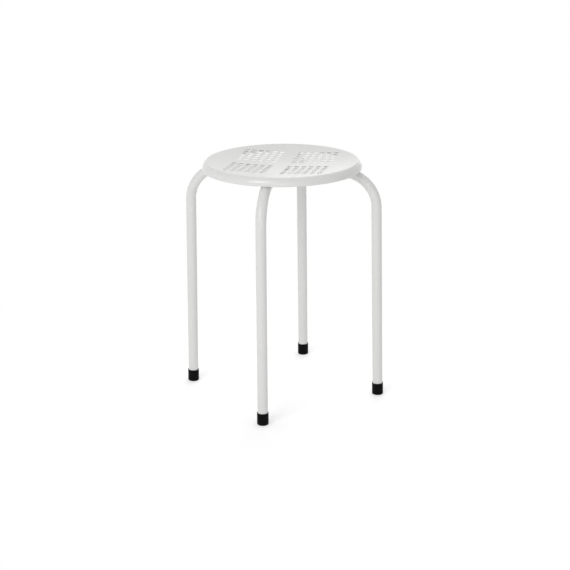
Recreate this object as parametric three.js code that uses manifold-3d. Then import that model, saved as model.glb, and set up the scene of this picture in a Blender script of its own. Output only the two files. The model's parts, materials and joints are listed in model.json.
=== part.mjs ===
// A stacking stool: a pressed steel seat pan with four patches of square perforations,
// screwed to four bent tube legs that stand in plastic foot caps.
// Millimetres, +Z up. The origin is on the floor under the middle of the seat.
// The front leg stands towards -Y and the right leg towards +X.

import * as THREE from 'three';
import { mergeGeometries, mergeVertices } from 'three/addons/utils/BufferGeometryUtils.js';
import Module from 'manifold-3d';

const wasm = await Module();
wasm.setup();

// Whole stool
const seatHeight = 450; // floor to the crest of the rim
const clearance = 0.3; // between pieces that bear on each other
const overrun = 2; // how far a cutter passes the surface that it cuts

// Seat pan, pressed from one sheet
const panRadius = 147; // outer face of the skirt
const panSheet = 1;
const dishDepth = 8; // crest of the rim down to the middle of the dish
const crestRadius = 2; // outer radius of the tight bend over the crest of the rim
const shoulderRadius = 14; // outer radius of the curve from that bend down to the skirt
const shoulderTurn = THREE.MathUtils.degToRad(57); // how far that curve turns
const skirtDepth = 15.7; // crest of the rim down to the lower edge
const lipWidth = 3.6; // turned-in lower edge, measured from the skirt's outer face
const lipRadius = 1.5; // outer radius of the bend between the skirt and the lip
const panSegments = 56;
const dishSteps = 4;
const crestSteps = 2;
const shoulderSteps = 4;
const lipSteps = 2;

// Perforations: one square patch in each quarter of the dish
const holeSide = 8.6;
const holePitch = 13.45;
const firstHole = 18.6; // from the seat's centre lines to the middle of the nearest row
const holesAlongPatch = 6;
const holeMargin = 9; // least distance from a hole's corner to the rim's crest

// Shallow notches where the legs leave the pan
const notchHeadroom = 1; // above the tube's crown
const notchSideroom = 2.5; // each side of the tube

// Legs: one bent tube each
const tubeDiameter = 19;
const tubeWall = 1.2;
const bendRadius = 64; // along the tube's centre line
const footRadius = 183; // middle of the stool to a leg's centre line on the floor
const legLean = THREE.MathUtils.degToRad(1); // inwards from the vertical, going up
const runEndGap = 10.5; // between a tube's inner end and the side line of its neighbours
const tubeSides = 20;
const bendSteps = 8;

// Threaded bosses, welded under the pan, and the screws that go up into them
const bossDiameter = 10;
const bossBoreDepth = 13;
const screwDiameter = 6;
const screwReach = 11; // length of the shank inside the boss
const headDiameter = 10.6;
const headHeight = 3.3;
const headBevel = 1.4;
const socketAcrossFlats = 4;
const socketDepth = 2;
const innerScrewSetback = 15; // from the tube's inner end
const outerScrewShare = 0.51018778; // of the way from the inner screw to the start of the bend
const fastenerSides = 10;

// Foot caps
const capWall = 0.8;
const capHeight = 23;
const capFloor = 3;
const capBevel = 1;

// Where the legs stand, anticlockwise from the right as seen from above
const legAngles = { front: -Math.PI / 2, right: 0, back: Math.PI / 2, left: Math.PI };

// Worked out from the sizes above
const tubeRadius = tubeDiameter / 2;
const bossRadius = bossDiameter / 2;
const screwRadius = screwDiameter / 2;
const shoulderCentreRadius = panRadius - shoulderRadius;
const crestOffset = shoulderRadius - crestRadius; // between the centres of the rim's two curves
const crestCentreRadius = shoulderCentreRadius + crestOffset * Math.cos(shoulderTurn);
const crestCentreHeight = seatHeight - crestRadius;
const shoulderCentreHeight = crestCentreHeight - crestOffset * Math.sin(shoulderTurn);
const skirtBottom = seatHeight - skirtDepth;
const dishMiddle = seatHeight - dishDepth;
const runHeight = dishMiddle - panSheet - clearance - tubeRadius;
const runStart = tubeRadius + runEndGap;
const bendCentreHeight = runHeight - bendRadius;
const bendStart = footRadius - bendCentreHeight * Math.tan(legLean) - bendRadius / Math.cos(legLean);
const capOuterRadius = tubeRadius + clearance + capWall;
const boreRadius = tubeRadius - tubeWall;
// The lower rim of a boss comes down to the curved inside of its tube.
const bossBottom = runHeight - Math.sqrt(boreRadius ** 2 - bossRadius ** 2) + clearance;

// The dish is a spherical cap. Its sphere touches the crest's bend from above, which sets its
// radius.
const crestRise = crestCentreHeight - dishMiddle;
const dishRadius = (crestCentreRadius ** 2 + crestRise ** 2 - crestRadius ** 2)
  / (2 * (crestRadius + crestRise));
const dishCentreHeight = dishMiddle + dishRadius;
const dishEdgeAngle = Math.asin(crestCentreRadius / (dishRadius + crestRadius));

const enamel = { color: '#e4e4e1', roughness: 0.38, metalness: 0 };
const zinc = { color: '#a9adb0', roughness: 0.35, metalness: 0.9 };
const plastic = { color: '#151515', roughness: 0.55, metalness: 0 };

// Points on an arc, in a plane of radius and height, including both of its ends.
function arc(centreRadius, centreHeight, radius, fromAngle, toAngle, steps) {
  const points = [];
  for (let step = 0; step <= steps; step += 1) {
    const angle = fromAngle + (toAngle - fromAngle) * (step / steps);
    const across = centreRadius + radius * Math.cos(angle);
    points.push(new THREE.Vector2(across, centreHeight + radius * Math.sin(angle)));
  }
  return points;
}

// A profile of radius and height turned about the Z axis.
function revolve(profile, segments) {
  return new THREE.LatheGeometry(profile, segments).rotateX(Math.PI / 2);
}

// A closed solid for cutting, from a geometry whose vertices are merged first.
function solid(geometry) {
  const bare = geometry.clone();
  bare.deleteAttribute('normal');
  bare.deleteAttribute('uv');
  const merged = mergeVertices(bare);
  const corners = merged.index.array;
  const kept = [];
  for (let at = 0; at < corners.length; at += 3) {
    const [a, b, c] = corners.slice(at, at + 3);
    if (a !== b && b !== c && c !== a) {
      kept.push(a, b, c);
    }
  }
  return new wasm.Manifold(new wasm.Mesh({
    numProp: 3,
    vertProperties: new Float32Array(merged.attributes.position.array),
    triVerts: new Uint32Array(kept),
  }));
}

// The geometry of a cut solid.
function surface(body) {
  const mesh = body.getMesh();
  const geometry = new THREE.BufferGeometry();
  geometry.setAttribute('position', new THREE.BufferAttribute(mesh.vertProperties, mesh.numProp));
  geometry.setIndex(new THREE.BufferAttribute(mesh.triVerts, 1));
  return geometry;
}

function piece(name, geometry, finish) {
  const flat = geometry.index ? geometry.toNonIndexed() : geometry;
  flat.computeVertexNormals();
  const mesh = new THREE.Mesh(flat, new THREE.MeshStandardMaterial(finish));
  mesh.name = name;
  return mesh;
}

// Height of the sheet's underside at a distance from the seat's middle, inside the rim.
function undersideHeight(radius) {
  return dishCentreHeight - Math.sqrt((dishRadius + panSheet) ** 2 - radius ** 2);
}

// The rim's section from the crest down to the skirt, at a depth inside the sheet.
function rimSection(depth) {
  const crest = Math.PI / 2;
  return [
    ...arc(crestCentreRadius, crestCentreHeight, crestRadius - depth, crest, shoulderTurn, crestSteps),
    ...arc(shoulderCentreRadius, shoulderCentreHeight, shoulderRadius - depth, shoulderTurn, 0,
      shoulderSteps).slice(1),
  ];
}

// The pan's section: along the underside outwards, round the lip, up the skirt, over the rim and
// back across the dish to the axis.
function panProfile() {
  const down = -Math.PI / 2;
  const dishEnd = down + dishEdgeAngle;
  const lipCentreRadius = panRadius - lipRadius;
  const lipCentreHeight = skirtBottom + lipRadius;
  const lipEdge = panRadius - lipWidth;
  return [
    ...arc(0, dishCentreHeight, dishRadius + panSheet, down, dishEnd, dishSteps),
    ...rimSection(panSheet),
    ...arc(lipCentreRadius, lipCentreHeight, lipRadius - panSheet, 0, down, lipSteps),
    new THREE.Vector2(lipEdge, skirtBottom + panSheet),
    new THREE.Vector2(lipEdge, skirtBottom),
    ...arc(lipCentreRadius, lipCentreHeight, lipRadius, down, 0, lipSteps),
    ...rimSection(0).reverse(),
    ...arc(0, dishCentreHeight, dishRadius, dishEnd, down, dishSteps),
  ];
}

// Square cutters for the perforations, mirrored into the four quarters of the dish.
// A hole whose corner would come too near the rim's crest is left out.
function perforations() {
  const cutters = [];
  const low = dishMiddle - panSheet - overrun;
  const tall = seatHeight + overrun - low;
  const reach = crestCentreRadius - holeMargin;
  for (let column = 0; column < holesAlongPatch; column += 1) {
    for (let row = 0; row < holesAlongPatch; row += 1) {
      const x = firstHole + column * holePitch;
      const y = firstHole + row * holePitch;
      if (Math.hypot(x + holeSide / 2, y + holeSide / 2) > reach) continue;
      for (const [sideX, sideY] of [[1, 1], [-1, 1], [-1, -1], [1, -1]]) {
        const cutter = new THREE.BoxGeometry(holeSide, holeSide, tall);
        cutters.push(cutter.translate(sideX * x, sideY * y, low + tall / 2));
      }
    }
  }
  return cutters;
}

// Height of the tube's crown at a distance from the seat's middle, along the run and the bend.
function crownHeight(radius) {
  const along = Math.max(0, radius - bendStart);
  return bendCentreHeight + Math.sqrt(Math.max(0, (bendRadius + tubeRadius) ** 2 - along ** 2));
}

// Square cutters for the notches, one over each tube where it passes the lip.
// Where the lip clears the tubes by more than the headroom, there are none.
function notches() {
  const roof = crownHeight(panRadius - lipWidth) + notchHeadroom;
  if (roof <= skirtBottom) return [];
  const low = skirtBottom - overrun;
  const length = lipWidth + 2 * overrun;
  const width = 2 * (tubeRadius + notchSideroom);
  return Object.values(legAngles).map((angle) => {
    const cutter = new THREE.BoxGeometry(length, width, roof - low);
    return cutter.translate(panRadius - lipWidth / 2, 0, (roof + low) / 2).rotateZ(angle);
  });
}

function seatPan() {
  const sheet = solid(revolve(panProfile(), panSegments));
  const cutters = solid(mergeGeometries([...perforations(), ...notches()]));
  return piece('seat_pan', surface(sheet.subtract(cutters)), enamel);
}

// A leg's centre line in its own plane: the run under the seat, the bend and the upright.
// The parameter takes one step for each straight stretch and the rest for the bend.
class LegLine extends THREE.Curve {
  getPoint(parameter) {
    const place = parameter * (bendSteps + 2);
    if (place <= 1) {
      return new THREE.Vector3(THREE.MathUtils.lerp(runStart, bendStart, place), 0, runHeight);
    }
    const turned = Math.min(1, (place - 1) / bendSteps);
    const angle = THREE.MathUtils.lerp(Math.PI / 2, legLean, turned);
    const x = bendStart + bendRadius * Math.cos(angle);
    const z = bendCentreHeight + bendRadius * Math.sin(angle);
    const left = Math.max(0, place - 1 - bendSteps);
    const lower = THREE.MathUtils.lerp(z, capFloor + clearance, left);
    return new THREE.Vector3(x + (z - lower) * Math.tan(legLean), 0, lower);
  }

  getPointAt(parameter) {
    return this.getPoint(parameter);
  }

  getTangentAt(parameter) {
    const place = parameter * (bendSteps + 2);
    const turned = THREE.MathUtils.clamp((place - 1) / bendSteps, 0, 1);
    const angle = THREE.MathUtils.lerp(Math.PI / 2, legLean, turned);
    return new THREE.Vector3(Math.sin(angle), 0, -Math.cos(angle));
  }
}

// Where the two screws of a leg stand along its run.
const innerScrewPlace = runStart + innerScrewSetback;
const screwPlaces = {
  inner: innerScrewPlace,
  outer: THREE.MathUtils.lerp(innerScrewPlace, bendStart, outerScrewShare),
};

// A stepped cutter: wide through the tube's upper wall for the boss, narrow through its lower wall
// for the screw.
function fastenerHole(place) {
  const bossHole = bossRadius + clearance;
  const screwHole = screwRadius + clearance;
  const low = runHeight - tubeRadius - overrun;
  const high = runHeight + tubeRadius + overrun;
  const profile = [
    new THREE.Vector2(0, low),
    new THREE.Vector2(screwHole, low),
    new THREE.Vector2(screwHole, runHeight),
    new THREE.Vector2(bossHole, runHeight),
    new THREE.Vector2(bossHole, high),
    new THREE.Vector2(0, high),
  ];
  return revolve(profile, fastenerSides).translate(place, 0, 0);
}

function legTube(name) {
  const section = new THREE.Shape();
  section.absarc(0, 0, tubeRadius, 0, 2 * Math.PI);
  const bore = new THREE.Path();
  bore.absarc(0, 0, boreRadius, 0, 2 * Math.PI);
  section.holes.push(bore);
  const swept = new THREE.ExtrudeGeometry(section, {
    steps: bendSteps + 2,
    curveSegments: tubeSides / 2,
    extrudePath: new LegLine(),
  });
  const holes = mergeGeometries(Object.values(screwPlaces).map(fastenerHole));
  return piece(name, surface(solid(swept).subtract(solid(holes))), enamel);
}

// A threaded boss stands inside the tube, from the pan's underside down to the tube's lower wall.
function boss(name, place) {
  const top = undersideHeight(place - bossRadius) - clearance;
  const bore = screwRadius + clearance;
  const profile = [
    new THREE.Vector2(0, bossBottom + bossBoreDepth),
    new THREE.Vector2(bore, bossBottom + bossBoreDepth),
    new THREE.Vector2(bore, bossBottom),
    new THREE.Vector2(bossRadius, bossBottom),
    new THREE.Vector2(bossRadius, top),
    new THREE.Vector2(0, top),
  ];
  return piece(name, revolve(profile, fastenerSides).translate(place, 0, 0), enamel);
}

// A button-head screw with a hexagon socket, its head under the tube and its shank in the boss.
function screw(name, place) {
  const seat = runHeight - tubeRadius - clearance;
  const tip = bossBottom + screwReach;
  const headRadius = headDiameter / 2;
  const profile = [
    new THREE.Vector2(0, seat - headHeight),
    new THREE.Vector2(headRadius - headBevel, seat - headHeight),
    new THREE.Vector2(headRadius, seat - headHeight + headBevel),
    new THREE.Vector2(headRadius, seat),
    new THREE.Vector2(screwRadius, seat),
    new THREE.Vector2(screwRadius, tip),
    new THREE.Vector2(0, tip),
  ];
  const corner = socketAcrossFlats / 2 / Math.cos(Math.PI / 6);
  const length = socketDepth + overrun;
  const socket = new THREE.CylinderGeometry(corner, corner, length, 6).rotateX(Math.PI / 2);
  socket.translate(0, 0, seat - headHeight + socketDepth - length / 2);
  const body = solid(revolve(profile, fastenerSides)).subtract(solid(socket));
  return piece(name, surface(body).translate(place, 0, 0), zinc);
}

// A cap sleeves the leaning tube, and its underside is trimmed level with the floor.
function footCap(name) {
  const inner = capOuterRadius - capWall;
  const trim = capOuterRadius * Math.tan(legLean);
  const profile = [
    new THREE.Vector2(0, -trim),
    new THREE.Vector2(capOuterRadius - capBevel, -trim),
    new THREE.Vector2(capOuterRadius, capBevel),
    new THREE.Vector2(capOuterRadius, capHeight),
    new THREE.Vector2(inner, capHeight),
    new THREE.Vector2(inner, capFloor),
    new THREE.Vector2(0, capFloor),
  ];
  const sleeve = revolve(profile, tubeSides).rotateY(-legLean).translate(footRadius, 0, 0);
  const wide = 2 * (capOuterRadius + overrun);
  const tall = capHeight + 2 * overrun;
  const aboveFloor = new THREE.BoxGeometry(wide, wide, tall).translate(footRadius, 0, tall / 2);
  return piece(name, surface(solid(sleeve).intersect(solid(aboveFloor))), plastic);
}

function legSet(side, angle) {
  const set = new THREE.Group();
  set.add(legTube(`leg_${side}`));
  set.add(footCap(`foot_cap_${side}`));
  for (const [end, place] of Object.entries(screwPlaces)) {
    set.add(boss(`boss_${side}_${end}`, place));
    set.add(screw(`screw_${side}_${end}`, place));
  }
  set.rotation.z = angle;
  return set;
}

const stool = new THREE.Group();
stool.add(seatPan());
for (const [side, angle] of Object.entries(legAngles)) {
  stool.add(legSet(side, angle));
}

export default stool;
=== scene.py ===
"""A white stacking stool: a dished, perforated steel seat on four bent tube legs in black caps.

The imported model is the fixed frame. Each of its nodes is replaced, in the same place, by a finely
meshed piece with a procedural finish. Lengths are metres. +Z is up and the front leg is towards -Y.
"""

import json
import logging
import math
from dataclasses import dataclass, field
from enum import Enum
from typing import Any

import bpy
import numpy as np
from mathutils import Matrix, Vector


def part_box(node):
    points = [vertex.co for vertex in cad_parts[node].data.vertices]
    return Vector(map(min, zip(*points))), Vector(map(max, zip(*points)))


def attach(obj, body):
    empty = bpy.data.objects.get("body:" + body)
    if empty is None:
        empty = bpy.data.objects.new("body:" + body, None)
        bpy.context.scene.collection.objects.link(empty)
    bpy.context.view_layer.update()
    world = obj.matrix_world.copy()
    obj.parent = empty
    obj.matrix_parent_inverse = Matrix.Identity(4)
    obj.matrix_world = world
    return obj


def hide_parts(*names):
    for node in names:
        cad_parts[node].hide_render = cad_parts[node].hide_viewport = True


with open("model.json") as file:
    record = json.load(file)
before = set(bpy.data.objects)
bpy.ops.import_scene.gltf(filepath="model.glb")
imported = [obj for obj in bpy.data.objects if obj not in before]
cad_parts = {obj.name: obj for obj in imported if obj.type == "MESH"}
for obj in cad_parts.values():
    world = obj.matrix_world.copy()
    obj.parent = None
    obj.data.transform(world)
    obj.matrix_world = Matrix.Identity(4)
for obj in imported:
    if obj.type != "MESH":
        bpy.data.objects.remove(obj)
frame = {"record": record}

LOG = logging.getLogger("stool")
QUARTER = math.pi / 2
TINY = 1e-9  # less than any step between points
GREEN_SHARE = 0.2  # how much of a colour's warmth green takes


class Side(Enum):
    """Where a leg stands, with its angle about the seat's axis from +X."""

    FRONT = ("front", -QUARTER)
    RIGHT = ("right", 0.0)
    BACK = ("back", QUARTER)
    LEFT = ("left", math.pi)

    @property
    def word(self) -> str:
        """The side's name in the node names."""
        return self.value[0]

    @property
    def angle(self) -> float:
        """The leg's direction as seen from above, in radians."""
        return self.value[1]


class Slot(Enum):
    """Material slots of the record."""

    ENAMEL = "enamel"
    PLASTIC = "cap_plastic"
    ZINC = "zinc"


# Shader maths


class Field:
    """A socket that is used in sums: each operator adds one Math node behind it."""

    def __init__(self, recipe: "Recipe", socket: bpy.types.NodeSocket) -> None:
        """Wraps a socket.

        Args:
            recipe: The material's node recipe that the socket belongs to.
            socket: The output socket that gives the value.
        """
        self.recipe = recipe
        self.socket = socket

    def math(self, operation: str, *others: "Field | float", swap: bool = False) -> "Field":
        """Adds a Math node on this value.

        Args:
            operation: The Math node's operation.
            others: The further operands, fields or numbers.
            swap: Whether this value comes after the first of the others.

        Returns:
            The node's result.
        """
        operands = [self, *others]
        if swap:
            operands[0], operands[1] = operands[1], operands[0]
        inputs = dict(enumerate(operands))
        return self.recipe.node("ShaderNodeMath", {"operation": operation}, inputs)

    def __add__(self, other: "Field | float") -> "Field":
        """This value plus another."""
        return self.math("ADD", other)

    __radd__ = __add__

    def __sub__(self, other: "Field | float") -> "Field":
        """This value less another."""
        return self.math("SUBTRACT", other)

    def __rsub__(self, other: "Field | float") -> "Field":
        """Another value less this one."""
        return self.math("SUBTRACT", other, swap=True)

    def __mul__(self, other: "Field | float") -> "Field":
        """This value times another."""
        return self.math("MULTIPLY", other)

    __rmul__ = __mul__

    def ramp(self, low: float, high: float) -> "Field":
        """A smooth step.

        Args:
            low: The value that gives 0.
            high: The value that gives 1.

        Returns:
            3 t squared less 2 t cubed, where t runs from 0 at low to 1 at high.
        """
        settings = {"interpolation_type": "SMOOTHSTEP"}
        inputs = {"Value": self, "From Min": low, "From Max": high}
        return self.recipe.node("ShaderNodeMapRange", settings, inputs)


class Recipe:
    """The node tree of one material or world."""

    def __init__(self, owner: bpy.types.Material | bpy.types.World) -> None:
        """Empties the owner's tree.

        Args:
            owner: The material or world that gets the nodes.
        """
        owner.use_nodes = True
        self.owner = owner
        self.tree = owner.node_tree
        self.tree.nodes.clear()

    def node(self, kind: str, settings: dict[str, Any], inputs: dict[Any, Any],
             out: int | str = 0) -> Field:
        """Adds a node.

        Args:
            kind: The node's type.
            settings: Properties that are set before the sockets.
            inputs: Values or fields by socket name or number.
            out: Which output the result is, by number or name.

        Returns:
            The chosen output as a field.
        """
        node = self.tree.nodes.new(kind)
        for key, value in settings.items():
            setattr(node, key, value)
        for key, value in inputs.items():
            if isinstance(value, Field):
                self.tree.links.new(value.socket, node.inputs[key])
            else:
                node.inputs[key].default_value = value
        return Field(self, node.outputs[out])

    def place(self) -> Field:
        """The point on the object, in metres."""
        return self.node("ShaderNodeTexCoord", {}, {}, out="Object")

    def axis(self, point: Field, index: int) -> Field:
        """One coordinate of a point.

        Args:
            point: The point.
            index: 0, 1 or 2 for X, Y or Z.

        Returns:
            The coordinate.
        """
        return self.node("ShaderNodeSeparateXYZ", {}, {0: point}, out=index)

    def noise(self, point: Field, size: float, detail: float = 2.0) -> Field:
        """Soft noise about 0.5.

        Args:
            point: Where it is read.
            size: The size of its blotches, in metres.
            detail: How many finer layers it has.

        Returns:
            The noise value.
        """
        inputs = {"Vector": point, "Scale": 1.0 / size, "Detail": detail}
        return self.node("ShaderNodeTexNoise", {}, inputs)

    def blend(self, share: "Field | float", low: Any, high: Any) -> Field:
        """Mixes two colours.

        Args:
            share: 0 gives the first colour and 1 the second.
            low: The first colour.
            high: The second colour.

        Returns:
            The mixed colour.
        """
        settings = {"data_type": "RGBA"}
        return self.node("ShaderNodeMix", settings, {0: share, 6: low, 7: high}, out=2)

    def bump(self, height: Field, strength: float, distance: float) -> Field:
        """Turns a height field into a normal.

        Args:
            height: The height, where 1 is the distance.
            strength: The share of the effect.
            distance: The height in metres that a value of 1 stands for.

        Returns:
            The normal.
        """
        inputs = {"Height": height, "Strength": strength, "Distance": distance}
        return self.node("ShaderNodeBump", {}, inputs)

    def seen(self) -> Field:
        """Tells rays that show a surface from rays that it lights.

        Returns:
            1 for camera, glossy and transmission rays, and 0 for the rest.
        """
        rays = [self.node("ShaderNodeLightPath", {}, {}, out=f"Is {kind} Ray")
                for kind in ("Camera", "Glossy", "Transmission")]
        return rays[0].math("MAXIMUM", rays[1]).math("MAXIMUM", rays[2])

    def principled(self, inputs: dict[str, Any]) -> Any:
        """Ends the tree in a Principled shader.

        Args:
            inputs: Values or fields by socket name.

        Returns:
            The finished material.
        """
        return self.finish(self.node("ShaderNodeBsdfPrincipled", {}, inputs))

    def finish(self, shader: Field, kind: str = "ShaderNodeOutputMaterial") -> Any:
        """Ends the tree in a shader.

        Args:
            shader: The shader's output.
            kind: The type of the output node.

        Returns:
            The finished material or world.
        """
        output = self.tree.nodes.new(kind)
        self.tree.links.new(shader.socket, output.inputs["Surface"])
        return self.owner


def grey(value: float, warm: float = 0.0) -> tuple[float, float, float, float]:
    """A grey, drawn towards yellow by a small share.

    Args:
        value: The linear grey level.
        warm: The share by which blue is lower.

    Returns:
        The colour with an alpha of 1.
    """
    return (value, value * (1 - GREEN_SHARE * warm), value * (1 - warm), 1.0)


@dataclass(frozen=True)
class PowderCoat:
    """White powder coat: semi-gloss, with fine orange peel, faint clouding and a few dull rubs.

    Sizes and heights are metres. A depth is the share of the shade that a pattern brings in.
    """

    white: float = 0.82
    warmth: float = 0.017
    shade: float = 0.55
    cloud_size: float = 0.09
    cloud_depth: float = 0.035
    peel_size: float = 0.0016
    peel_height: float = 0.00004
    peel_strength: float = 0.6
    pit_size: float = 0.0004
    pit_share: float = 0.2
    rub_size: float = 0.012
    rub_range: tuple[float, float] = (0.6, 0.8)
    rub_depth: float = 0.02
    rub_dulling: float = 0.06
    roughness: float = 0.22
    roughness_swing: float = 0.1
    coat: float = 0.15
    coat_roughness: float = 0.12

    def material(self) -> bpy.types.Material:
        """Builds the finish.

        Returns:
            A material whose clouding and rubs follow the object's own coordinates.
        """
        recipe = Recipe(bpy.data.materials.new("powder_coat"))
        point = recipe.place()
        clouds = recipe.noise(point, self.cloud_size)
        rubs = recipe.noise(point, self.rub_size).ramp(*self.rub_range)
        peel = recipe.noise(point, self.peel_size, detail=1.0)
        pits = recipe.noise(point, self.pit_size, detail=0.0)
        dull = clouds * self.cloud_depth + rubs * self.rub_depth
        light = grey(self.white, self.warmth)
        deep = grey(self.white * self.shade, self.warmth * 2)
        rough = self.roughness + self.roughness_swing * (clouds - 0.5) + self.rub_dulling * rubs
        relief = peel + self.pit_share * pits
        return recipe.principled({
            "Base Color": recipe.blend(dull, light, deep),
            "Roughness": rough,
            "Normal": recipe.bump(relief, self.peel_strength, self.peel_height),
            "Coat Weight": self.coat,
            "Coat Roughness": self.coat_roughness,
        })


@dataclass(frozen=True)
class MouldedPlastic:
    """Black moulded plastic with a fine spark-eroded grain, dusty where it meets the floor."""

    black: float = 0.0035
    flow_size: float = 0.012
    flow_depth: float = 0.3
    flow_gain: float = 2.2
    grain_size: float = 0.0005
    grain_height: float = 0.00003
    grain_strength: float = 0.5
    dust_grey: float = 0.12
    dust_warmth: float = 0.15
    dust_height: float = 0.004
    dust_size: float = 0.003
    dust_range: tuple[float, float] = (0.4, 0.7)
    dust_depth: float = 0.35
    dust_dulling: float = 0.3
    roughness: float = 0.5
    roughness_swing: float = 0.12
    sheen: float = 0.05

    def material(self) -> bpy.types.Material:
        """Builds the finish.

        Returns:
            A material with grain, flow marks and a dusty lower edge.
        """
        recipe = Recipe(bpy.data.materials.new("moulded_plastic"))
        point = recipe.place()
        grain = recipe.noise(point, self.grain_size, detail=1.0)
        flow = recipe.noise(point, self.flow_size, detail=3.0)
        low = 1 - recipe.axis(point, 2).ramp(0.0, self.dust_height)
        dust = low * recipe.noise(point, self.dust_size, detail=4.0).ramp(*self.dust_range)
        paler = grey(self.black * self.flow_gain)
        colour = recipe.blend(flow * self.flow_depth, grey(self.black), paler)
        dusty = grey(self.dust_grey, self.dust_warmth)
        rough = self.roughness + self.roughness_swing * (flow - 0.5) + self.dust_dulling * dust
        return recipe.principled({
            "Base Color": recipe.blend(dust * self.dust_depth, colour, dusty),
            "Roughness": rough,
            "Normal": recipe.bump(grain, self.grain_strength, self.grain_height),
            "Specular IOR Level": self.sheen,
        })


@dataclass(frozen=True)
class ZincPlate:
    """Bright zinc plate on a cold-headed screw: cloudy tone and fine scratches."""

    metal: float = 0.55
    blue_gain: float = 1.03
    cloud_size: float = 0.003
    cloud_shade: float = 0.8
    cloud_warmth: float = 0.05
    scratch_size: float = 0.0007
    scratch_height: float = 0.00002
    scratch_strength: float = 0.3
    roughness: float = 0.28
    roughness_swing: float = 0.18

    def material(self) -> bpy.types.Material:
        """Builds the finish.

        Returns:
            A metallic material with clouding and fine scratches.
        """
        recipe = Recipe(bpy.data.materials.new("zinc_plate"))
        point = recipe.place()
        clouds = recipe.noise(point, self.cloud_size, detail=3.0)
        scratches = recipe.noise(point, self.scratch_size, detail=4.0)
        light = (self.metal, self.metal, self.metal * self.blue_gain, 1.0)
        deep = grey(self.metal * self.cloud_shade, self.cloud_warmth)
        return recipe.principled({
            "Base Color": recipe.blend(clouds, light, deep),
            "Metallic": 1.0,
            "Roughness": self.roughness + self.roughness_swing * (scratches - 0.5),
            "Normal": recipe.bump(scratches, self.scratch_strength, self.scratch_height),
        })


# Meshes


def grid_faces(rows: int, columns: int, close_rows: bool = False,
               close_columns: bool = False) -> np.ndarray:
    """The four-cornered faces of a grid of points numbered row by row.

    A face's normal is the step to the next row crossed with the step to the next column.

    Args:
        rows: How many rows of points there are.
        columns: How many points a row has.
        close_rows: Whether the last row is joined to the first.
        close_columns: Whether the last column is joined to the first.

    Returns:
        An array of corners, four to a face.
    """
    last_row = rows if close_rows else rows - 1
    last_column = columns if close_columns else columns - 1
    row, column = np.meshgrid(np.arange(last_row), np.arange(last_column), indexing="ij")
    below = (row + 1) % rows
    after = (column + 1) % columns
    corners = [row * columns + column, below * columns + column]
    corners += [below * columns + after, row * columns + after]
    return np.stack(corners, axis=-1).reshape(-1, 4)


@dataclass
class Patchwork:
    """Grids of points that are sewn into one mesh where their points coincide."""

    points: list[np.ndarray] = field(default_factory=list)
    faces: list[np.ndarray] = field(default_factory=list)
    count: int = 0

    def add(self, points: np.ndarray, close_rows: bool = False,
            close_columns: bool = False) -> None:
        """Adds a grid.

        Args:
            points: An array of rows, columns and three coordinates.
            close_rows: Whether the last row is joined to the first.
            close_columns: Whether the last column is joined to the first.
        """
        rows, columns = points.shape[:2]
        self.faces.append(grid_faces(rows, columns, close_rows, close_columns) + self.count)
        self.points.append(points.reshape(-1, 3))
        self.count += rows * columns

    def sewn(self, tolerance: float = 2e-6, shift: float = 0.2) -> tuple[np.ndarray, np.ndarray]:
        """Merges the points that lie in the same place.

        Places are shifted before rounding, because many lie half way between two steps, where the
        last digit would decide.

        Args:
            tolerance: The step that places are rounded to.
            shift: How far they are shifted, as a share of the step.

        Returns:
            The points and the faces, where a face that closed to a line is left out.
        """
        points = np.concatenate(self.points)
        faces = np.concatenate(self.faces)
        keys = np.round(points / tolerance + shift).astype(np.int64)
        _, first, number = np.unique(keys, axis=0, return_index=True, return_inverse=True)
        faces = number.reshape(-1)[faces]
        wide = (faces[:, 0] != faces[:, 2]) & (faces[:, 1] != faces[:, 3])
        return points[first], faces[wide]


def make_object(name: str, patchwork: Patchwork, material: bpy.types.Material) -> bpy.types.Object:
    """Makes a smooth-shaded object at the origin.

    Args:
        name: The object's name.
        patchwork: Its grids.
        material: Its finish.

    Returns:
        The object, linked to the scene.
    """
    points, faces = patchwork.sewn()
    loops = [list(dict.fromkeys(face)) for face in faces.tolist()]
    mesh = bpy.data.meshes.new(name)
    mesh.from_pydata(points.tolist(), [], loops)
    mesh.validate()
    mesh.materials.append(material)
    mesh.polygons.foreach_set("use_smooth", np.ones(len(mesh.polygons), dtype=bool))
    mesh.update()
    made = bpy.data.objects.new(name, mesh)
    bpy.context.scene.collection.objects.link(made)
    return made


def arc(centre: tuple[float, float], radius: float, start: float, end: float,
        steps: int) -> np.ndarray:
    """Points on an arc: the centre plus the radius times the cosine and sine of the angle.

    Args:
        centre: Its centre, as radius and height.
        radius: Its radius.
        start: The first angle.
        end: The last angle.
        steps: How many steps it takes.

    Returns:
        An array of points as radius and height.
    """
    angle = np.linspace(start, end, steps + 1)
    across = centre[0] + radius * np.cos(angle)
    return np.stack([across, centre[1] + radius * np.sin(angle)], axis=-1)


def revolve(profile: np.ndarray, segments: int) -> np.ndarray:
    """Turns a profile about Z: x and y are its radius times the cosine and sine of the angle.

    Args:
        profile: Points as radius and height.
        segments: How many steps a turn takes.

    Returns:
        A grid with a row for each angle.
    """
    angle = np.arange(segments) * (2 * math.pi / segments)
    radius, height = profile[:, 0], profile[:, 1]
    x = np.cos(angle)[:, None] * radius
    y = np.sin(angle)[:, None] * radius
    return np.stack([x, y, np.broadcast_to(height, x.shape)], axis=-1)


def turned(points: np.ndarray, angle: float) -> np.ndarray:
    """Turns points about the Z axis.

    Args:
        points: An array whose last axis is x, y and z.
        angle: The angle in radians.

    Returns:
        The turned points.
    """
    x, y, z = np.moveaxis(points, -1, 0)
    cos, sin = math.cos(angle), math.sin(angle)
    return np.stack([x * cos - y * sin, x * sin + y * cos, z], axis=-1)


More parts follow.
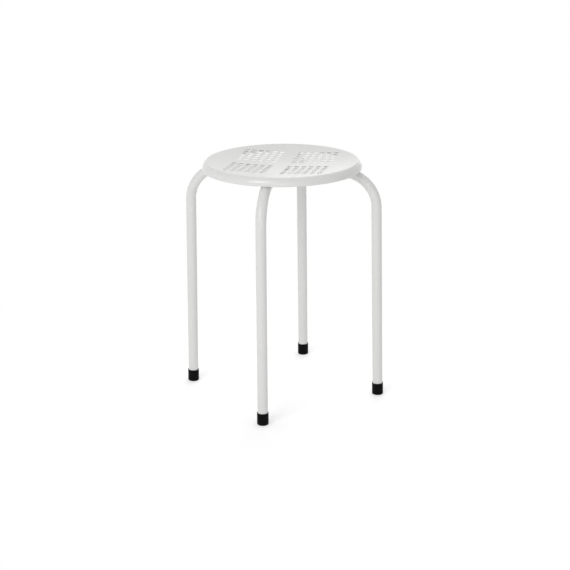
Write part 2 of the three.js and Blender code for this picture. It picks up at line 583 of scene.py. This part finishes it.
def finish_piece(piece: bpy.types.Object, node: str) -> None:
    """Ties a piece to the body, hides the node that it replaces, and reports it.

    Args:
        piece: The piece.
        node: The node that it replaces.
    """
    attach(piece, "root")
    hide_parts(node)
    mesh = piece.data
    LOG.info("%s: %d points, %d faces", piece.name, len(mesh.vertices), len(mesh.polygons))


# Assemblies


@dataclass
class SeatPan:
    """The pressed seat: a perforated dish, a tight crest, a round shoulder, a skirt and a lip."""

    radius: float
    top: float
    bottom: float
    tube_radius: float
    crown: float
    sheet: float = 0.001
    dish_depth: float = 0.008
    crest_radius: float = 0.002
    shoulder_radius: float = 0.014
    shoulder_turn: float = math.radians(57)
    lip_width: float = 0.0036
    lip_radius: float = 0.0015
    hole_side: float = 0.0086
    hole_corner: float = 0.0009
    hole_pitch: float = 0.01345
    first_hole: float = 0.0186
    holes_along: int = 6
    notch_headroom: float = 0.001
    notch_sideroom: float = 0.0025
    cell_steps: int = 8
    cell_shares: tuple[float, ...] = (0.0, 0.12, 0.5, 1.0)
    corner_crowding: float = 0.75
    middle_steps: int = 20
    ring_steps: int = 4
    crest_samples: int = 160
    shoulder_samples: int = 240
    skirt_samples: int = 60
    bend_samples: int = 160
    lip_samples: int = 80
    curve_steps: int = 22
    skirt_steps: int = 12
    turning_length: float = 0.008
    edge_bevel: float = 0.00034
    bevel_segments: int = 2
    bevel_angle: float = math.radians(50)

    def __post_init__(self) -> None:
        """Works out the rim's two curves and the dish's sphere, which touches the crest."""
        offset = self.shoulder_radius - self.crest_radius
        shoulder_x = self.radius - self.shoulder_radius
        across = shoulder_x + offset * math.cos(self.shoulder_turn)
        crest_z = self.top - self.crest_radius
        self.crest_centre = (across, crest_z)
        self.shoulder_centre = (shoulder_x, crest_z - offset * math.sin(self.shoulder_turn))
        middle = self.top - self.dish_depth
        rise = crest_z - middle
        chord = across**2 + rise**2 - self.crest_radius**2
        self.dish_radius = chord / (2 * (self.crest_radius + rise))
        self.dish_centre = middle + self.dish_radius
        self.dish_edge_angle = math.asin(across / (self.dish_radius + self.crest_radius))
        self.dish_edge = across - self.crest_radius * math.sin(self.dish_edge_angle)
        self.panel_half = self.first_hole + (self.holes_along - 0.5) * self.hole_pitch
        self.panel_start = self.first_hole - self.hole_pitch / 2

    def on_dish(self, x: np.ndarray, y: np.ndarray) -> np.ndarray:
        """Lifts plan positions to the dish: z is its centre's height less the root of R2 - x2 - y2.

        Args:
            x: Positions along X.
            y: Positions along Y.

        Returns:
            The points on the dish.
        """
        z = self.dish_centre - np.sqrt(self.dish_radius**2 - x**2 - y**2)
        return np.stack([x, y, z], axis=-1)

    def square_loop(self) -> tuple[np.ndarray, np.ndarray]:
        """The outline of a cell from -1 to 1, anticlockwise, evenly spaced.

        Returns:
            Its x and y shares.
        """
        side = np.linspace(-1, 1, self.cell_steps, endpoint=False)
        one = np.ones_like(side)
        return np.concatenate([side, one, -side, -one]), np.concatenate([-one, side, one, -side])

    def hole_loop(self) -> tuple[np.ndarray, np.ndarray]:
        """The rounded square outline of a hole about its middle.

        The square's points are crowded towards its corners by a power. Each is drawn to the inner
        square, whose half side is less by the corner radius, and pushed out from it by that radius.

        Returns:
            Its x and y positions.
        """
        x, y = self.square_loop()
        half = self.hole_side / 2
        inner = half - self.hole_corner
        spread_x = np.sign(x) * np.abs(x) ** self.corner_crowding * half
        spread_y = np.sign(y) * np.abs(y) ** self.corner_crowding * half
        near_x, near_y = np.clip(spread_x, -inner, inner), np.clip(spread_y, -inner, inner)
        away = np.hypot(spread_x - near_x, spread_y - near_y)
        share = self.hole_corner / away
        return near_x + (spread_x - near_x) * share, near_y + (spread_y - near_y) * share

    def add_cells(self, patchwork: Patchwork) -> None:
        """Adds the perforated cells, each from its hole's outline to the cell's square outline.

        Args:
            patchwork: Where the grids go.
        """
        hole_x, hole_y = self.hole_loop()
        cell_x, cell_y = (loop * self.hole_pitch / 2 for loop in self.square_loop())
        share = np.array(self.cell_shares)[:, None]
        x = hole_x + (cell_x - hole_x) * share
        y = hole_y + (cell_y - hole_y) * share
        places = self.first_hole + self.hole_pitch * np.arange(self.holes_along)
        for centre_x in np.concatenate([-places, places]):
            for centre_y in np.concatenate([-places, places]):
                patchwork.add(self.on_dish(x + centre_x, y + centre_y), close_columns=True)

    def middle_lines(self) -> np.ndarray:
        """The plan coordinates of the grid lines across the plain cross."""
        return np.linspace(-self.panel_start, self.panel_start, self.middle_steps + 1)

    def lines(self) -> np.ndarray:
        """The grid lines along one side of the perforated square.

        Returns:
            Their plan coordinates, in rising order.
        """
        cells = self.holes_along * self.cell_steps
        outer = np.linspace(self.panel_start, self.panel_half, cells + 1)
        return np.concatenate([-outer[:0:-1], self.middle_lines(), outer[1:]])

    def add_cross(self, patchwork: Patchwork) -> None:
        """Adds the plain cross between the four patches.

        Args:
            patchwork: Where the grids go.
        """
        lines, middle = self.lines(), self.middle_lines()
        outside = lines[lines > self.panel_start - TINY]
        for along, across in ((lines, middle), (middle, outside), (middle, -outside[::-1])):
            x, y = np.meshgrid(along, across, indexing="ij")
            patchwork.add(self.on_dish(x, y))

    def square_edge(self) -> np.ndarray:
        """The outline of the perforated square, with the cells' own points.

        Returns:
            Plan positions, anticlockwise from the front left corner.
        """
        lines = self.lines()[:-1]
        half = np.full_like(lines, self.panel_half)
        x = np.concatenate([lines, half, -lines, -half])
        y = np.concatenate([-half, lines, half, -lines])
        return np.stack([x, y], axis=-1)

    def edge_profile(self) -> np.ndarray:
        """The crest, shoulder, skirt and lip, closely spaced.

        Returns:
            Points as radius and height, from the dish's edge to the lip's end.
        """
        start = QUARTER + self.dish_edge_angle
        lip_centre = (self.radius - self.lip_radius, self.bottom + self.lip_radius)
        skirt_top = [self.radius, self.shoulder_centre[1]]
        skirt = np.linspace(skirt_top, [self.radius, lip_centre[1]], self.skirt_samples)
        lip_end = [self.radius - self.lip_width, self.bottom]
        lip = np.linspace([lip_centre[0], self.bottom], lip_end, self.lip_samples)
        turn = self.shoulder_turn
        crest = arc(self.crest_centre, self.crest_radius, start, turn, self.crest_samples)
        shoulder = arc(self.shoulder_centre, self.shoulder_radius, turn, 0, self.shoulder_samples)
        bend = arc(lip_centre, self.lip_radius, 0, -QUARTER, self.bend_samples)
        return np.concatenate([crest, shoulder[1:], skirt[1:], bend[1:], lip[1:]])

    def inside_notch(self, points: np.ndarray) -> np.ndarray:
        """Whether points lie in a notch, the shallow relief over each leg.

        Args:
            points: An array whose last axis is x, y and z.

        Returns:
            True where a point would be cut away.
        """
        aside = np.minimum(np.abs(points[..., 0]), np.abs(points[..., 1]))
        low = points[..., 2] < self.crown + self.notch_headroom
        return low & (aside < self.tube_radius + self.notch_sideroom)

    def edge_measure(self, profile: np.ndarray) -> np.ndarray:
        """The way along the profile, where turning counts as length, so that bends get fine steps.

        Args:
            profile: Points as radius and height.

        Returns:
            The sum, up to each point, of the lengths and of the turns times the turning length.
        """
        step = np.diff(profile, axis=0)
        length = np.hypot(step[:, 0], step[:, 1])
        heading = np.unwrap(np.arctan2(step[:, 1], step[:, 0]))
        turning = np.abs(np.diff(heading, prepend=heading[0]))
        return np.concatenate([[0], np.cumsum(length + turning * self.turning_length)])

    def add_edge(self, patchwork: Patchwork) -> None:
        """Adds the dish outside the square, and the rim, skirt and lip down to the notches.

        The dish's rings run straight in plan from the square to the circle. The profile is
        turned to each column's angle. The crest and the shoulder are stepped alike all round,
        and below them each column ends where it meets a notch.

        Args:
            patchwork: Where the grids go.
        """
        square = self.square_edge()
        angle = np.arctan2(square[:, 1], square[:, 0])
        cos, sin = np.cos(angle)[:, None], np.sin(angle)[:, None]
        circle = self.dish_edge * np.hstack([cos, sin])
        share = np.linspace(0, 1, self.ring_steps + 1)[:, None, None]
        plan = square + (circle - square) * share
        patchwork.add(self.on_dish(plan[..., 0], plan[..., 1]), close_columns=True)

        profile = self.edge_profile()
        measure = self.edge_measure(profile)
        x, y = cos * profile[:, 0], sin * profile[:, 0]
        z = np.broadcast_to(profile[:, 1], x.shape)
        cut = self.inside_notch(np.stack([x, y, z], axis=-1))
        last = np.where(cut.any(axis=1), cut.argmax(axis=1) - 1, len(profile) - 1)
        curve_end = measure[int(np.argmax(profile[:, 1] < self.shoulder_centre[1] + TINY))]
        curve = np.linspace(0, curve_end, self.curve_steps, endpoint=False)
        down = np.linspace(0, 1, self.skirt_steps + 1)[None, :]
        below = curve_end + down * (measure[last][:, None] - curve_end)
        wanted = np.hstack([np.broadcast_to(curve, (len(angle), self.curve_steps)), below])
        radius = np.interp(wanted, measure, profile[:, 0])
        height = np.interp(wanted, measure, profile[:, 1])
        columns = np.stack([cos * radius, sin * radius, height], axis=-1)
        patchwork.add(np.swapaxes(columns, 0, 1), close_columns=True)

    def build(self, material: bpy.types.Material) -> None:
        """Builds the pan.

        Args:
            material: Its finish.
        """
        patchwork = Patchwork()
        self.add_cells(patchwork)
        self.add_cross(patchwork)
        self.add_edge(patchwork)
        pan = make_object("pan", patchwork, material)
        wall = pan.modifiers.new("wall", "SOLIDIFY")
        wall.thickness = self.sheet
        wall.offset = -1.0
        wall.use_even_offset = True
        edge = pan.modifiers.new("punched_edges", "BEVEL")
        edge.width = self.edge_bevel
        edge.segments = self.bevel_segments
        edge.limit_method = "ANGLE"
        edge.angle_limit = self.bevel_angle
        finish_piece(pan, "seat_pan")


@dataclass
class Leg:
    """One bent tube, hollow and open at both ends."""

    side: Side
    radius: float
    run_start: float
    run_height: float
    foot_radius: float
    foot_height: float
    lean: float = math.radians(1)
    bend_radius: float = 0.064
    wall: float = 0.0012
    flattening: float = 0.035
    widening_share: float = 0.5
    end_round: float = 0.0003
    around: int = 64
    run_points: int = 12
    bend_points: int = 40
    upright_points: int = 24

    def __post_init__(self) -> None:
        """Works out where the bend lies, from the upright's line and the run's height."""
        self.bend_height = self.run_height - self.bend_radius
        inward = self.bend_height * math.tan(self.lean) + self.bend_radius / math.cos(self.lean)
        self.bend_start = self.foot_radius - inward

    def crown(self, distance: float) -> float:
        """The height of the bend's upper side.

        Args:
            distance: How far from the stool's axis it is taken.

        Returns:
            Its centre's height plus the root of the outer radius squared less the reach squared.
        """
        reach = distance - self.bend_start
        return self.bend_height + math.sqrt((self.bend_radius + self.radius) ** 2 - reach**2)

    def centre_line(self) -> tuple[np.ndarray, np.ndarray, np.ndarray]:
        """The tube's centre line in its own plane.

        The run is straight, the bend is the arc about its centre from a quarter turn down to the
        lean, and the upright follows the lean to the foot.

        Returns:
            Positions as radius and height, outward normals and the share of flattening.
        """
        run = np.linspace(self.run_start, self.bend_start, self.run_points, endpoint=False)
        angle = np.linspace(QUARTER, self.lean, self.bend_points)
        end_x = self.bend_start + self.bend_radius * math.cos(self.lean)
        end_z = self.bend_height + self.bend_radius * math.sin(self.lean)
        drop = np.linspace(end_z, self.foot_height, self.upright_points)[1:]
        x = np.concatenate([run, self.bend_start + self.bend_radius * np.cos(angle),
                            end_x + (end_z - drop) * math.tan(self.lean)])
        z = np.concatenate([np.full_like(run, self.run_height),
                            self.bend_height + self.bend_radius * np.sin(angle), drop])
        facing = np.concatenate([np.full_like(run, QUARTER), angle, np.full_like(drop, self.lean)])
        through = (QUARTER - angle) / (QUARTER - self.lean)
        bent = np.sin(math.pi * through) ** 0.5
        flat = np.concatenate([np.zeros_like(run), bent, np.zeros_like(drop)])
        normal = np.stack([np.cos(facing), np.sin(facing)], axis=-1)
        return np.stack([x, z], axis=-1), normal, flat

    def skin(self) -> np.ndarray:
        """The tube's skin: out along the outside and back along the bore, closed both ways.

        A point is the centre line plus the ring's radius times the cosine of the angle along the
        normal, less the flattening, and times the sine along Y, widened by part of it. Both ends
        have two rings more, so that their edges are bevelled.

        Returns:
            The grid of points, with a row for each ring.
        """
        line, normal, flat = self.centre_line()
        order = np.arange(len(line))
        ends = np.array([order[-1]] * 2)
        rings = np.concatenate([order, ends, order[::-1], [0, 0]])
        bore = self.radius - self.wall
        radius = np.concatenate([np.full(len(order), self.radius), [self.radius, bore],
                                 np.full(len(order), bore), [bore, self.radius]])
        radius[[len(order), -1]] -= self.end_round
        radius[[len(order) + 1, -2]] += self.end_round
        inset = np.zeros(len(rings))
        inset[[len(order) - 1, len(order) + 2]] = self.end_round
        inset[[0, -3]] = -self.end_round
        tangent = np.stack([normal[:, 1], -normal[:, 0]], axis=-1)[rings]
        place = line[rings] - tangent * inset[:, None]
        angle = np.arange(self.around) * (2 * math.pi / self.around)
        squash = 1 - self.flattening * flat[rings]
        widen = 1 + self.widening_share * self.flattening * flat[rings]
        up = (radius * squash)[:, None] * np.cos(angle)
        aside = (radius * widen)[:, None] * np.sin(angle)
        x = place[:, 0][:, None] + up * normal[rings][:, 0][:, None]
        z = place[:, 1][:, None] + up * normal[rings][:, 1][:, None]
        return np.stack([x, aside, z], axis=-1)

    def build(self, material: bpy.types.Material) -> None:
        """Builds the tube.

        Args:
            material: Its finish.
        """
        patchwork = Patchwork()
        skin = turned(self.skin(), self.side.angle)
        patchwork.add(skin, close_rows=True, close_columns=True)
        tube = make_object(f"tube_{self.side.word}", patchwork, material)
        finish_piece(tube, f"leg_{self.side.word}")


@dataclass
class FootCap:
    """A plastic sleeve with a closed floor, on the leaning end of a tube."""

    side: Side
    foot_radius: float
    radius: float
    height: float
    wall: float = 0.0008
    floor: float = 0.003
    lean: float = math.radians(1)
    edge_radius: float = 0.0022
    edge_steps: int = 10
    lip_round_share: float = 0.35
    lip_steps: int = 3
    middle_share: float = 0.5
    segments: int = 72

    def build(self, material: bpy.types.Material) -> None:
        """Builds the cap and levels its underside with the floor.

        Args:
            material: Its finish.
        """
        low = -self.radius * math.tan(self.lean)
        inner = self.radius - self.wall
        bend = self.edge_radius
        edge = arc((self.radius - bend, low + bend), bend, -QUARTER, 0, self.edge_steps)
        bend = self.wall * self.lip_round_share
        top = self.height - bend
        lip = arc((self.radius - bend, top), bend, 0, QUARTER, self.lip_steps)
        within = arc((inner + bend, top), bend, QUARTER, 2 * QUARTER, self.lip_steps)
        base = [[0.0, low], [self.radius * self.middle_share, low]]
        well = [[inner, self.height * self.middle_share], [inner, self.floor],
                [inner * self.middle_share, self.floor], [0.0, self.floor]]
        profile = np.concatenate([base, edge, lip, within, well])
        x, y, z = np.moveaxis(revolve(profile, self.segments), -1, 0)
        cos, sin = math.cos(self.lean), math.sin(self.lean)
        leaning = np.stack([x * cos - z * sin, y, x * sin + z * cos], axis=-1)
        leaning[..., 0] += self.foot_radius
        leaning[..., 2] = np.maximum(leaning[..., 2], 0.0)
        patchwork = Patchwork()
        patchwork.add(turned(leaning, self.side.angle), close_rows=True)
        cap = make_object(f"cap_{self.side.word}", patchwork, material)
        finish_piece(cap, f"foot_cap_{self.side.word}")


class End(Enum):
    """Which of a leg's two fixings a fastener belongs to."""

    INNER = "inner"
    OUTER = "outer"


@dataclass
class Boss:
    """A threaded round boss under the pan."""

    name: str
    bore: float = 0.0033
    bore_depth: float = 0.013
    chamfer: float = 0.0004
    segments: int = 40

    def build(self, material: bpy.types.Material) -> None:
        """Builds the boss in its node's place.

        Args:
            material: Its finish.
        """
        low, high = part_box(self.name)
        radius = max(high.x - low.x, high.y - low.y) / 2
        c = self.chamfer
        profile = np.array([
            [0, low.z + self.bore_depth], [self.bore, low.z + self.bore_depth],
            [self.bore, low.z + c], [self.bore + c, low.z],
            [radius - c, low.z], [radius, low.z + c],
            [radius, high.z - c], [radius - c, high.z], [0, high.z],
        ])
        middle = np.array([(low.x + high.x) / 2, (low.y + high.y) / 2, 0])
        patchwork = Patchwork()
        patchwork.add(revolve(profile, self.segments) + middle, close_rows=True)
        finish_piece(make_object(self.name + "_fine", patchwork, material), self.name)


@dataclass
class Screw:
    """A button-head screw with a hexagon socket, head down."""

    name: str
    shank: float = 0.003
    tip_bevel: float = 0.0006
    head_height: float = 0.0033
    crown: float = 0.0026
    dome_share: float = 0.8
    dome_points: int = 8
    socket: float = 0.002
    socket_depth: float = 0.002
    socket_bevel: float = 0.0002
    segments: int = 48

    def build(self, material: bpy.types.Material) -> None:
        """Builds the screw in its node's place.

        The socket's outline is its half width across flats over the cosine of the angle from the
        nearest flat, and the rest is round. The dome is a quarter of an ellipse.

        Args:
            material: Its finish.
        """
        low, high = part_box(self.name)
        head = max(high.x - low.x, high.y - low.y) / 2
        floor = low.z + self.socket_depth
        seat = low.z + self.head_height
        dome = np.linspace(0, QUARTER, self.dome_points)
        dome_radius = self.crown + (head - self.crown) * np.sin(dome)
        dome_height = low.z + (self.head_height * self.dome_share) * (1 - np.cos(dome))
        angle = np.arange(self.segments) * (2 * math.pi / self.segments)
        from_flat = np.mod(angle, math.pi / 3) - math.pi / 6
        hexagon = self.socket / np.cos(from_flat)
        axis, shank = np.zeros_like(angle), np.full_like(angle, self.shank)
        steps = [(axis, floor), (hexagon, floor), (hexagon, low.z + self.socket_bevel),
                 (hexagon + self.socket_bevel, low.z)]
        steps += [(np.full_like(angle, r), z) for r, z in zip(dome_radius, dome_height)]
        steps += [(np.full_like(angle, head), seat), (shank, seat),
                  (shank, high.z - self.tip_bevel), (shank - self.tip_bevel, high.z),
                  (axis, high.z)]
        radius = np.stack([r for r, _ in steps], axis=-1)
        height = np.broadcast_to(np.array([z for _, z in steps]), radius.shape)
        x = np.cos(angle)[:, None] * radius + (low.x + high.x) / 2
        y = np.sin(angle)[:, None] * radius + (low.y + high.y) / 2
        patchwork = Patchwork()
        patchwork.add(np.stack([x, y, height], axis=-1), close_rows=True)
        finish_piece(make_object(self.name + "_fine", patchwork, material), self.name)


# Studio


def direction(azimuth: float, elevation: float) -> Vector:
    """Which way a camera or a lamp lies from the stool.

    Args:
        azimuth: The angle about the vertical, from -Y towards +X, in radians.
        elevation: The angle above the horizontal, in radians.

    Returns:
        The unit vector towards it.
    """
    flat = math.cos(elevation)
    return Vector((math.sin(azimuth) * flat, -math.cos(azimuth) * flat, math.sin(elevation)))


@dataclass(frozen=True)
class Viewpoint:
    """The camera's place, as fitted to the photograph of 570 by 570 pixels."""

    azimuth: float = math.radians(12.5)
    elevation: float = math.radians(18.14)
    distance: float = 2.571
    target_height: float = 0.2072
    roll: float = math.radians(0.555)
    image_pixels: float = 570.0
    focal_pixels: float = 1354.5
    centre_pixel_x: float = 283.31
    sensor_width: float = 36.0

    def build(self) -> None:
        """Creates the camera and makes it the scene's."""
        lens = bpy.data.cameras.new("view")
        lens.sensor_width = self.sensor_width
        lens.lens = self.focal_pixels / self.image_pixels * self.sensor_width
        lens.shift_x = 0.5 - self.centre_pixel_x / self.image_pixels
        camera = bpy.data.objects.new("view", lens)
        back = direction(self.azimuth, self.elevation)
        right = Vector((math.cos(self.azimuth), math.sin(self.azimuth), 0.0))
        up = back.cross(right)
        cos, sin = math.cos(self.roll), math.sin(self.roll)
        axes = Matrix((right * cos - up * sin, right * sin + up * cos, back)).transposed()
        place = Vector((0.0, 0.0, self.target_height)) + back * self.distance
        camera.matrix_world = Matrix.Translation(place) @ axes.to_4x4()
        bpy.context.scene.collection.objects.link(camera)
        bpy.context.scene.camera = camera


@dataclass(frozen=True)
class Lamp:
    """A soft square area lamp that faces the stool's middle. Its two angles are in degrees."""

    name: str
    azimuth: float
    elevation: float
    power: float
    distance: float = 2.8
    size: float = 1.3
    target_height: float = 0.25

    def build(self) -> None:
        """Creates the lamp."""
        light = bpy.data.lights.new(self.name, "AREA")
        light.shape = "SQUARE"
        light.size = self.size
        light.energy = self.power
        lamp = bpy.data.objects.new(self.name, light)
        back = direction(math.radians(self.azimuth), math.radians(self.elevation))
        lamp.location = Vector((0.0, 0.0, self.target_height)) + back * self.distance
        lamp.rotation_euler = back.to_track_quat("Z", "Y").to_euler()
        bpy.context.scene.collection.objects.link(lamp)


@dataclass(frozen=True)
class Studio:
    """A white floor and surroundings with soft lamps."""

    floor_half: float = 12.0
    floor_points: int = 5
    floor_white: float = 0.93
    floor_glow: float = 0.34  # added where the floor is seen, so that it comes to white
    open_floor: tuple[float, float] = (0.35, 0.8)  # distances where its shadows fade out
    ambient: float = 0.52  # how bright the surroundings are as light
    ceiling_rise: tuple[float, float] = (0.2, 0.47)  # height of a direction, of 1 straight up
    ceiling_dimming: float = 0.3
    lamps: tuple[Lamp, ...] = (
        Lamp("key", azimuth=-20, elevation=30, power=19),
        Lamp("fill", azimuth=15, elevation=4, power=6.2),
        Lamp("overhead", azimuth=180, elevation=60, power=14),
        Lamp("backlight", azimuth=180, elevation=4, power=1.6),
    )

    def floor(self) -> None:
        """Creates the floor, which keeps the stool's shadow and is plain white further out."""
        recipe = Recipe(bpy.data.materials.new("floor_white"))
        diffuse = recipe.node("ShaderNodeBsdfDiffuse", {}, {"Color": grey(self.floor_white)})
        plain = {"Color": grey(1.0), "Strength": 1.0}
        glow = recipe.node("ShaderNodeEmission", {}, {**plain, "Strength": self.floor_glow})
        lit = recipe.node("ShaderNodeAddShader", {}, {0: diffuse, 1: glow})
        white = recipe.node("ShaderNodeEmission", {}, plain)
        place = recipe.place()
        away = recipe.node("ShaderNodeVectorMath", {"operation": "LENGTH"}, {0: place}, out="Value")
        shown = {0: away.ramp(*self.open_floor), 1: lit, 2: white}
        shown = recipe.node("ShaderNodeMixShader", {}, shown)
        whole = recipe.node("ShaderNodeMixShader", {}, {0: recipe.seen(), 1: diffuse, 2: shown})
        material = recipe.finish(whole)
        patchwork = Patchwork()
        line = np.linspace(-self.floor_half, self.floor_half, self.floor_points)
        x, y = np.meshgrid(line, line, indexing="ij")
        patchwork.add(np.stack([x, y, np.zeros_like(x)], axis=-1))
        make_object("floor", patchwork, material)

    def world(self) -> None:
        """Sets the surroundings: plain white where they are seen, about half of that as light.

        Reflections show a dimmer ceiling above the white walls.
        """
        recipe = Recipe(bpy.data.worlds.new("surroundings"))
        height = recipe.axis(recipe.node("ShaderNodeTexCoord", {}, {}, out="Generated"), 2)
        reflected = recipe.node("ShaderNodeLightPath", {}, {}, out="Is Glossy Ray")
        ceiling = height.ramp(*self.ceiling_rise) * reflected * self.ceiling_dimming
        strength = recipe.seen() * (1 - self.ambient) + self.ambient - ceiling
        shader = recipe.node("ShaderNodeBackground", {}, {"Color": grey(1.0), "Strength": strength})
        bpy.context.scene.world = recipe.finish(shader, "ShaderNodeOutputWorld")

    def build(self) -> None:
        """Builds the floor, the surroundings and the lamps."""
        self.floor()
        self.world()
        for lamp in self.lamps:
            lamp.build()
        bpy.context.scene.view_settings.view_transform = "Standard"


def main() -> None:
    """Builds the stool on the frame, and the studio round it."""
    logging.basicConfig(level=logging.INFO, format="%(name)s %(message)s")
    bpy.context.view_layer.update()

    enamel = PowderCoat().material()
    plastic = MouldedPlastic().material()
    zinc = ZincPlate().material()

    pan_low, pan_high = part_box("seat_pan")
    leg_low, leg_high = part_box("leg_right")
    cap_low, cap_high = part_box("foot_cap_right")
    tube_radius = (leg_high.y - leg_low.y) / 2
    cap_radius = (cap_high.y - cap_low.y) / 2
    mounts = {mount["name"]: mount["pos_m"] for mount in frame["record"]["mounts"]}
    foot_radius = mounts["foot_right"][0]
    run_height = leg_high.z - tube_radius

    for side in Side:
        leg = Leg(side, tube_radius, leg_low.x, run_height, foot_radius, leg_low.z)
        leg.build(enamel)
        cap_top = cap_high.z - cap_radius * math.sin(leg.lean)
        FootCap(side, foot_radius, cap_radius, cap_top).build(plastic)
        for end in End:
            Boss(f"boss_{side.word}_{end.value}").build(enamel)
            Screw(f"screw_{side.word}_{end.value}").build(zinc)

    crown = leg.crown(pan_high.x - SeatPan.lip_width)
    SeatPan(pan_high.x, pan_high.z, pan_low.z, tube_radius, crown).build(enamel)

    Viewpoint().build()
    Studio().build()


if __name__ == "__main__":
    main()
